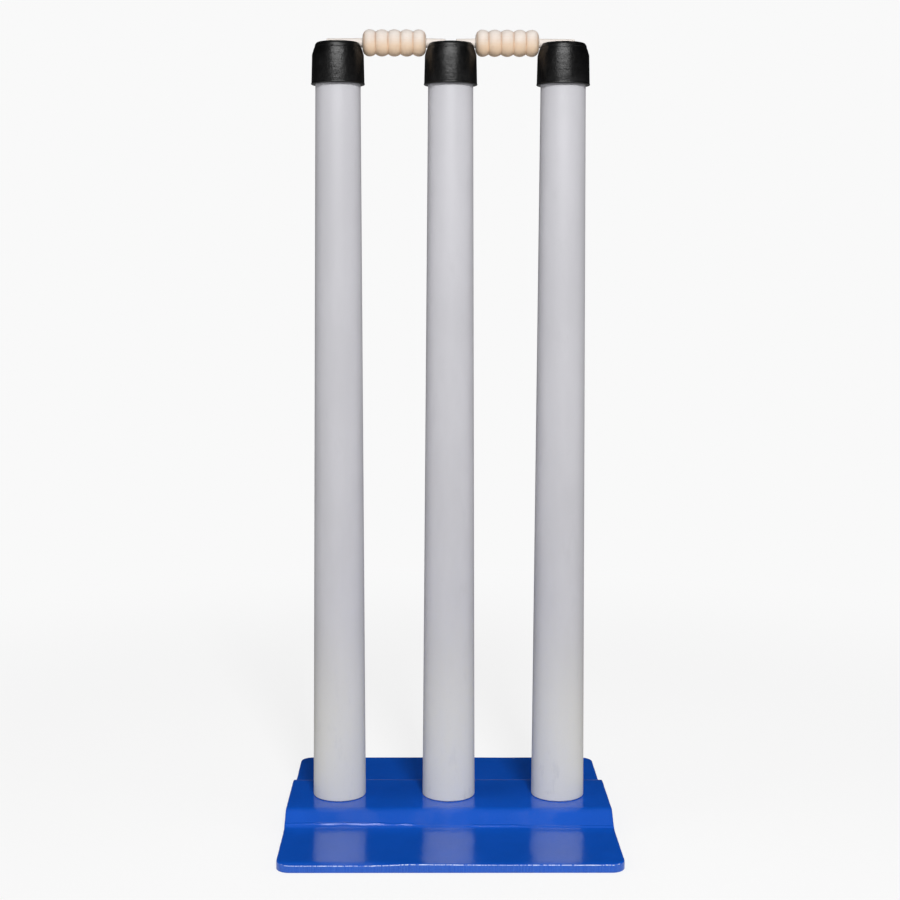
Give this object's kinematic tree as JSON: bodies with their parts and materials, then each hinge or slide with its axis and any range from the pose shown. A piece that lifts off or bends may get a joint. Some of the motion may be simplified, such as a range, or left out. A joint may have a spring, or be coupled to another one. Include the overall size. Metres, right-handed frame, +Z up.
{
  "type": "cricket stumps",
  "caption": "Free-standing cricket stumps: tapered plastic stumps with rubber caps on a bent steel base, and turned wooden bails lying in the grooves of the caps.",
  "frame": {"origin": "on the ground, under the middle of the base plate and of the middle stump", "axes": "+Z up along the stumps, X along the row of stumps, and the bowler's side of the base towards -Y"},
  "size_m": [0.297, 0.295, 0.723],
  "materials": {
    "painted_steel": "gloss blue enamel",
    "plated_steel": "bright zinc plate",
    "stump_plastic": "satin light grey",
    "bush_plastic": "moulded dark grey",
    "cap_rubber": "matt black, moulded",
    "turned_wood": "pale sanded hardwood"
  },
  "bodies": {
    "base": {"base_plate": "painted_steel", "peg_left": "plated_steel", "peg_bolt_left": "plated_steel", "spring_washer_left": "plated_steel", "plain_washer_left": "plated_steel", "peg_middle": "plated_steel", "peg_bolt_middle": "plated_steel", "spring_washer_middle": "plated_steel", "plain_washer_middle": "plated_steel", "peg_right": "plated_steel", "peg_bolt_right": "plated_steel", "spring_washer_right": "plated_steel", "plain_washer_right": "plated_steel"},
    "stump_left": {"stump_tube_left": "stump_plastic", "stump_bush_left": "bush_plastic", "stump_cap_left": "cap_rubber"},
    "stump_middle": {"stump_tube_middle": "stump_plastic", "stump_bush_middle": "bush_plastic", "stump_cap_middle": "cap_rubber"},
    "stump_right": {"stump_tube_right": "stump_plastic", "stump_bush_right": "bush_plastic", "stump_cap_right": "cap_rubber"},
    "bail_left": {"bail_left": "turned_wood"},
    "bail_right": {"bail_right": "turned_wood"}
  },
  "joints": [
    {"name": "stump_middle_lift", "type": "slide", "parent": "base", "child": "stump_middle", "axis": [0, 0, 1], "range_m": [0, 0.1]},
    {"name": "stump_left_lift", "type": "slide", "parent": "base", "child": "stump_left", "axis": [0, 0, 1], "range_m": [0, 0.1]},
    {"name": "stump_right_lift", "type": "slide", "parent": "base", "child": "stump_right", "axis": [0, 0, 1], "range_m": [0, 0.1]},
    {"name": "bail_left_lift", "type": "slide", "parent": "stump_left", "child": "bail_left", "axis": [0, 0, 1], "range_m": [0, 0.04]},
    {"name": "bail_right_lift", "type": "slide", "parent": "stump_right", "child": "bail_right", "axis": [0, 0, 1], "range_m": [0, 0.04]}
  ],
  "couplings": [
    {"joint": "stump_left_lift", "follows": "stump_middle_lift", "ratio": 1},
    {"joint": "stump_right_lift", "follows": "stump_middle_lift", "ratio": 1}
  ]
}
